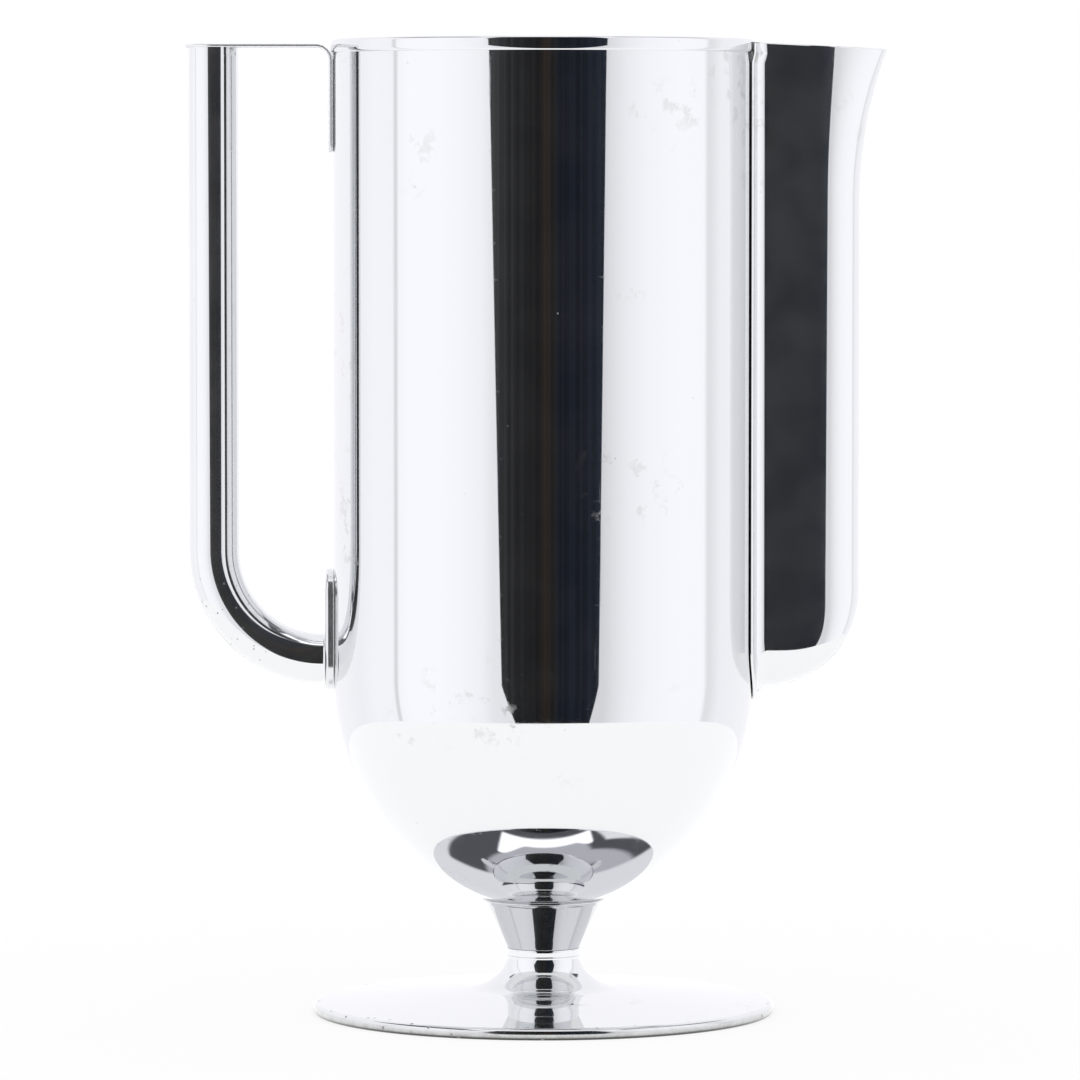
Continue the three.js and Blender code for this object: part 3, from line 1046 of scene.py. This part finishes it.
def stray_pits(n):
    return n.pits(560, 0.10, 0.975)


def chrome(name, haze=plate_haze, wave=7e-6, grease=plate_grease, dust=0.0, base=plate_colour):
    n = new_material(name)
    return plating(n, haze, wave, grease, stray_pits(n), dust=dust, base=base)


def bent_chrome(name):
    """Chrome of the handle, pitted where the tube was bent."""
    n = new_material(name)
    bend_top = handle_low + handle_bend
    bend = n.spread(n.z, bend_top, bend_top - handle_bend / 2)
    outer = n.spread(n.x, -handle_reach + handle_bend, -handle_reach)
    pitted = n.product(n.pits(650, 0.24, 0.72), bend, outer)
    return plating(n, plate_haze, 5e-6, 0.85, n.math("MAXIMUM", pitted, n.pits(560, 0.11, 0.97)), dust=0.012)


def worn_chrome(name):
    """Chrome of the foot, dull and pitted round its rolled edge, with painted contact shade along the bottom
    of the edge.
    """
    n = new_material(name)
    radius = n.math("SQRT", n.total(n.product(n.x, n.x), n.product(n.y, n.y)))
    edge = n.spread(radius, foot_radius - 2.2 * edge_roll, foot_radius - 1.4 * edge_roll)
    low = n.spread(n.z, 1.8 * edge_roll, 0.2 * edge_roll)
    pits = n.math("MAXIMUM", n.product(n.pits(520, 0.3, 0.8), edge), stray_pits(n))
    return plating(n, plate_haze, 6e-6, plate_grease, pits, n.product(edge, low))


def tinned(name):
    """Lining of the inside: dull tin with wiping marks up and down, water stains and a few dark specks."""
    n = new_material(name)
    wipes = n.noise(1, 4, 0.6, n.scaled((260, 260, 14)))
    stains = n.spread(n.noise(60, 4, 0.6), 0.42, 0.62)
    specks = n.pits(420, 0.14, 0.96)
    colour = n.blend(n.spread(wipes, 0.3, 0.7), tin_light, tin_dark)
    colour = n.blend(n.product(stains, stain_share), colour, stain_colour)
    rough = n.total(n.spread(wipes, 0.3, 0.7, 0.30, 0.42), n.product(stains, stain_haze))
    return n.finish(Base_Color=n.blend(specks, colour, pit_colour), Roughness=rough, Metallic=1 - tin_dust,
                    Normal=n.bump(wipes, 1e-5))


def plain_metal(name, light, dark, rough):
    """Turned, unplated metal with fine lines round its axis."""
    n = new_material(name)
    turned_lines = n.noise(1, 3, 0.6, n.scaled((80, 80, 3000)))
    return n.finish(Base_Color=n.blend(n.noise(300, 4, 0.6), light, dark), Metallic=1,
                    Roughness=n.spread(turned_lines, 0.3, 0.7, rough - 0.08, rough + 0.1),
                    Normal=n.bump(turned_lines, 2e-5))


# Stage: a round pale floor, white flats and a white backdrop, and the dark gaps between them, which only
# the chrome sees. The mirror level is the strength at which the flats look white in that chrome.

white = (1, 1, 1)
mirror_level = 1.235
floor_level = 1.22
floor_radius = 0.315
floor_middle = 0.05
floor_shadow = 0.2

# Gap in front, as its left and right edges at each height, and gap behind
front_gap_y = -0.7
front_gap_edges = ((0.0, 0.20, -0.6), (-0.371, 0.452, 0.241), (-0.40, 0.475, 0.30), (-0.40, 0.475, 1.42))
back_gap_y = 3.0
back_gap_half = 0.9
back_gap_low = -2.2
back_gap_high = -0.5
gap_colour = (0.93, 0.95, 1.0)
gap_cool = (0.66, 0.86, 1.3)
gap_warm = (1.5, 1.1, 0.9)

# Flats: tones by azimuth in degrees, from the back by the left, front and right, and the height of their tops
flat_stops = (
    (-180, 0.88), (-160, 0.88), (-139, 0.915), (-120, 0.90), (-105, 0.955), (-89.5, 0.945), (-88.7, 0.72),
    (-87.2, 0.72), (-86, 0.96), (-79, 1.0), (-60, 1.0), (-45, 0.968), (-34, 0.92), (-27, 0.82),
    (33, 0.68), (38, 0.77), (46, 0.87), (58, 0.95), (78, 0.99), (98, 0.985), (101, 0.78),
    (103, 0.78), (113, 0.90), (139, 0.91), (160, 0.88), (180, 0.88))
flats_top_left = 52.5
flats_top_right = 57.5
flats_side = 80
flats_fall_left = 0.22
flats_fall_right = 0.44

# Ceiling over them: a dark band that is wider on the left, and grey and white parts above it
ceiling_dark = (0.10, 0.10, 0.11)
ceiling_grey = (0.55, 0.55, 0.57)
ceiling_end = 134
ceiling_full = 128
band_left = 15
band_right = 7
cap_start = 79
cap_full = 82
box_tone = (1.6, 1.6, 1.6)
room_tint = (1.0, 0.993, 1.03)

# Camera
camera_lens = 227.43
camera_sensor = 36
camera_place = (-0.00088, -1.75, 0.2185)
camera_tilt = math.radians(90 - 3.164)


def stage_object(name, corners, material):
    mesh = bpy.data.meshes.new(name)
    mesh.from_pydata(corners, [], [tuple(range(len(corners)))])
    mesh.materials.append(material)
    piece = linked(name, mesh)
    return piece


def stage_material(name):
    n = new_material(name)
    n.tree.nodes.remove(n.shader)
    n.surface = n.tree.nodes["Material Output"].inputs["Surface"]
    return n


def make_floor():
    """White to the camera and to mirror rays, apart from the share that takes the shadow."""
    n = stage_material("pale_floor")
    path = n.add("ShaderNodeLightPath").outputs
    seen = n.math("MAXIMUM", path["Is Camera Ray"], path["Is Transmission Ray"])
    strength = n.total(n.product(seen, 1 - floor_shadow),
                       n.product(path["Is Glossy Ray"], floor_level - floor_shadow))
    diffuse = n.add("ShaderNodeBsdfDiffuse", (floor_shadow, floor_shadow, floor_shadow))
    glow = n.add("ShaderNodeEmission", Strength=strength)
    both = n.add("ShaderNodeAddShader", diffuse.outputs[0], glow.outputs[0])
    n.put(n.surface, both.outputs[0])
    angle = np.linspace(0, 2 * math.pi, round_sides, endpoint=False)
    corners = [(floor_radius * math.cos(a), floor_middle + floor_radius * math.sin(a), 0) for a in angle]
    stage_object("floor", corners, n.material)


def make_dark_gap(name, corners):
    """An unlit opening between two flats, with dim streaks, warmer in the middle, cooler on the right and
    lighter towards its left and right edges."""
    n = stage_material(name)
    streaks = n.noise(1, 3, 0.6, n.scaled((34, 1, 0.5)))
    sides = n.total(n.spread(n.x, -0.40, -0.06, 0.048, 0.015), n.spread(n.x, 0.2, 0.46, 0, 0.012))
    warm = n.product(n.spread(n.x, -0.03, 0.01), n.spread(n.x, 0.06, 0.02), n.spread(streaks, 0.3, 0.6))
    colour = n.blend(warm, n.blend(n.spread(n.x, 0.07, 0.10), gap_colour, gap_cool), gap_warm)
    strength = n.product(sides, n.spread(streaks, 0.3, 0.75, 0.7, 1.5))
    glow = n.add("ShaderNodeEmission", colour, strength)
    n.put(n.surface, glow.outputs[0])
    gap = stage_object(name, corners, n.material)
    for ray in ("camera", "diffuse", "shadow", "transmission"):
        setattr(gap, "visible_" + ray, False)


def make_dark_gaps():
    left = [(low, front_gap_y, z) for low, _, z in front_gap_edges]
    right = [(high, front_gap_y, z) for _, high, z in reversed(front_gap_edges)]
    make_dark_gap("front_gap", left + right)
    ends = ((-1, back_gap_low), (1, back_gap_low), (1, back_gap_high), (-1, back_gap_high))
    make_dark_gap("back_gap", [(side * back_gap_half, back_gap_y, z) for side, z in ends])


def flat_tones(n, azimuth):
    """Tone of the flats by azimuth."""
    node = n.add("ShaderNodeValToRGB")
    elements = node.color_ramp.elements
    for place, _ in flat_stops[1:-1]:
        elements.new((place + 180) / 360)
    for element, (place, tone) in zip(elements, flat_stops):
        element.position = (place + 180) / 360
        element.color = (tone, tone, tone, 1)
    n.put(node.inputs[0], n.math("DIVIDE", n.math("ADD", azimuth, 180), 360))
    return node.outputs[0]


def ceiling(n, azimuth, height, tones):
    """Puts the ceiling over the tones of the flats, whose tops fall away towards the back."""
    left = n.math("MAXIMUM", n.math("SUBTRACT", n.product(azimuth, -1), flats_side), 0)
    right = n.math("MAXIMUM", n.math("SUBTRACT", azimuth, flats_side), 0)
    fall = n.total(n.product(left, -flats_fall_left), n.product(right, -flats_fall_right))
    top = n.total(n.spread(azimuth, -40, 40, flats_top_left, flats_top_right), fall)
    above = n.math("SUBTRACT", height, top)
    past = n.math("SUBTRACT", above, n.spread(azimuth, -20, 60, band_left, band_right))
    dark = n.blend(n.spread(past, -1, 2), ceiling_dark, ceiling_grey)
    ahead = n.spread(n.math("ABSOLUTE", azimuth), ceiling_end, ceiling_full)
    walls = n.blend(n.product(n.spread(above, -1, 1), ahead), tones, dark)
    return n.blend(n.spread(height, cap_start, cap_full), walls, white)


def soft_box(n):
    """Share of a lit panel overhead, by the place where a ray meets its plane. Its rear edge is uneven."""
    flat = n.math("MAXIMUM", n.z, 0.05)
    across = n.math("DIVIDE", n.x, flat)
    along = n.math("DIVIDE", n.y, flat)
    rear = n.total(n.spread(across, -0.15, -0.42, -0.25, -0.06), n.spread(across, 0.3, 0.46, 0, 0.08))
    behind = n.math("SUBTRACT", along, rear)
    return n.product(n.spread(across, -0.45, -0.41), n.spread(across, 0.51, 0.47),
                     n.spread(along, -0.39, -0.35), n.spread(behind, 0, -0.03), n.spread(n.z, 0.1, 0.2))


def make_world():
    """Plain white, but for mirror rays the flats' own tones, a dark ceiling above them and a soft box."""
    world = bpy.data.worlds.new("studio")
    bpy.context.scene.world = world
    world.use_nodes = True
    n = Nodes(world.node_tree, "Generated")
    to_degrees = 180 / math.pi
    azimuth = n.product(n.math("ARCTAN2", n.x, n.product(n.y, -1)), to_degrees)
    height = n.product(n.math("ARCSINE", n.z), to_degrees)
    walls = ceiling(n, azimuth, height, flat_tones(n, azimuth))
    room = n.blend(1, n.blend(soft_box(n), walls, box_tone), room_tint, "MULTIPLY")
    mirror = n.add("ShaderNodeLightPath").outputs["Is Glossy Ray"]
    back = n.tree.nodes["Background"].inputs
    n.put(back["Color"], n.blend(mirror, white, room))
    n.put(back["Strength"], n.spread(mirror, 0, 1, 1, mirror_level))


def make_camera():
    camera = bpy.data.cameras.new("camera")
    camera.lens = camera_lens
    camera.sensor_width = camera_sensor
    camera.clip_start = 0.05
    camera.clip_end = 50
    eye = linked("camera", camera)
    eye.location = camera_place
    eye.rotation_euler = (camera_tilt, 0, 0)
    bpy.context.scene.camera = eye


def dress(piece, node, material, lining=None, heart=None):
    """Gives a piece its material and its body, and hides the frame's node that it stands in for. Faces that
    look towards the heart get the lining.
    """
    piece.data.materials.append(material)
    if lining:
        piece.data.materials.append(lining)
        for face in piece.data.polygons:
            face.material_index = int(face.normal.dot(face.center - heart) < 0)
    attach(piece, "root")
    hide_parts(node)


plate = chrome("chrome")
spout_plate = chrome("chrome_spout", haze=0.05, wave=1.2e-5, grease=0.75, dust=0.01)
collar_plate = chrome("chrome_collar", haze=0.06, wave=1e-5, grease=0.4, base=collar_colour)
rubbed_plate = chrome("chrome_rubbed", haze=0.18, wave=4e-6, grease=0.9, dust=0.13)
handle_plate = bent_chrome("chrome_handle")
foot_plate = worn_chrome("worn_chrome")
tin = tinned("tin_lining")
brass = plain_metal("brass", brass_light, brass_dark, 0.32)
steel = plain_metal("steel", steel_light, steel_dark, 0.36)

body_heart = Vector((0, 0, rim_top))
spout_heart = Vector((body_radius, 0, lip_z))
dress(make_barrel(), "body_barrel", plate, tin, body_heart)
dress(make_bowl(), "body_bowl", plate, tin, body_heart)
dress(make_rim(), "rim_bead", plate)
dress(make_spout(), "spout_trough", spout_plate, tin, spout_heart)
dress(make_tube(), "handle_tube", handle_plate)
dress(make_strap(), "handle_top_strap", rubbed_plate)
dress(make_pad(), "handle_lower_pad", rubbed_plate)
dress(make_collar(), "stem_collar", collar_plate)
dress(make_ring(), "stem_ring", plate)
dress(make_foot(), "foot", foot_plate)
for name, finish in (("stem_stud", brass), ("stem_washer", steel), ("stem_nut", steel),
                     ("foot_edge_wire", steel)):
    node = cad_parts[name]
    node.data.materials.clear()
    node.data.materials.append(finish)

make_floor()
make_dark_gaps()
make_world()
make_camera()
bpy.context.scene.view_settings.view_transform = "Standard"
